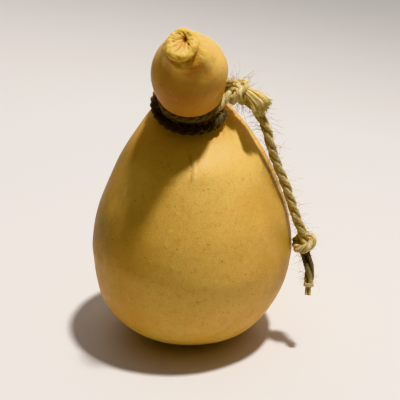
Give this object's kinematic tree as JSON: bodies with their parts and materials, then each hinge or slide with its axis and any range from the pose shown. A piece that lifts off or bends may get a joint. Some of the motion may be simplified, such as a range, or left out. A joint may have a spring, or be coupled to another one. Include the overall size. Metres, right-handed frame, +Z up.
{
  "type": "aged caciocavallo cheese on its rope",
  "caption": "Pear-shaped aged stretched-curd cheese with a leaning round head, its neck tied in sisal rope with a knotted free tail.",
  "frame": {"origin": "middle of the flat spot that the cheese stands on", "axes": "+Z up from the flat spot towards the head; the head and its nose lean towards -Y, the front; the knot and the free tail of the rope are on the +X side"},
  "size_m": [0.1559, 0.1395, 0.2321],
  "materials": {
    "rind": "golden brown waxy cheese rind, satin",
    "sisal": "dry straw-coloured twisted sisal",
    "thread": "matt straw-coloured thread"
  },
  "bodies": {
    "root": {"cheese": "rind", "neck_turn_upper": "sisal", "neck_turn_lower": "sisal", "neck_knot": "sisal", "frayed_tuft": "sisal", "rope_tail": "sisal", "end_knot": "sisal", "tail_stub": "sisal", "end_whipping": "thread"}
  },
  "joints": []
}
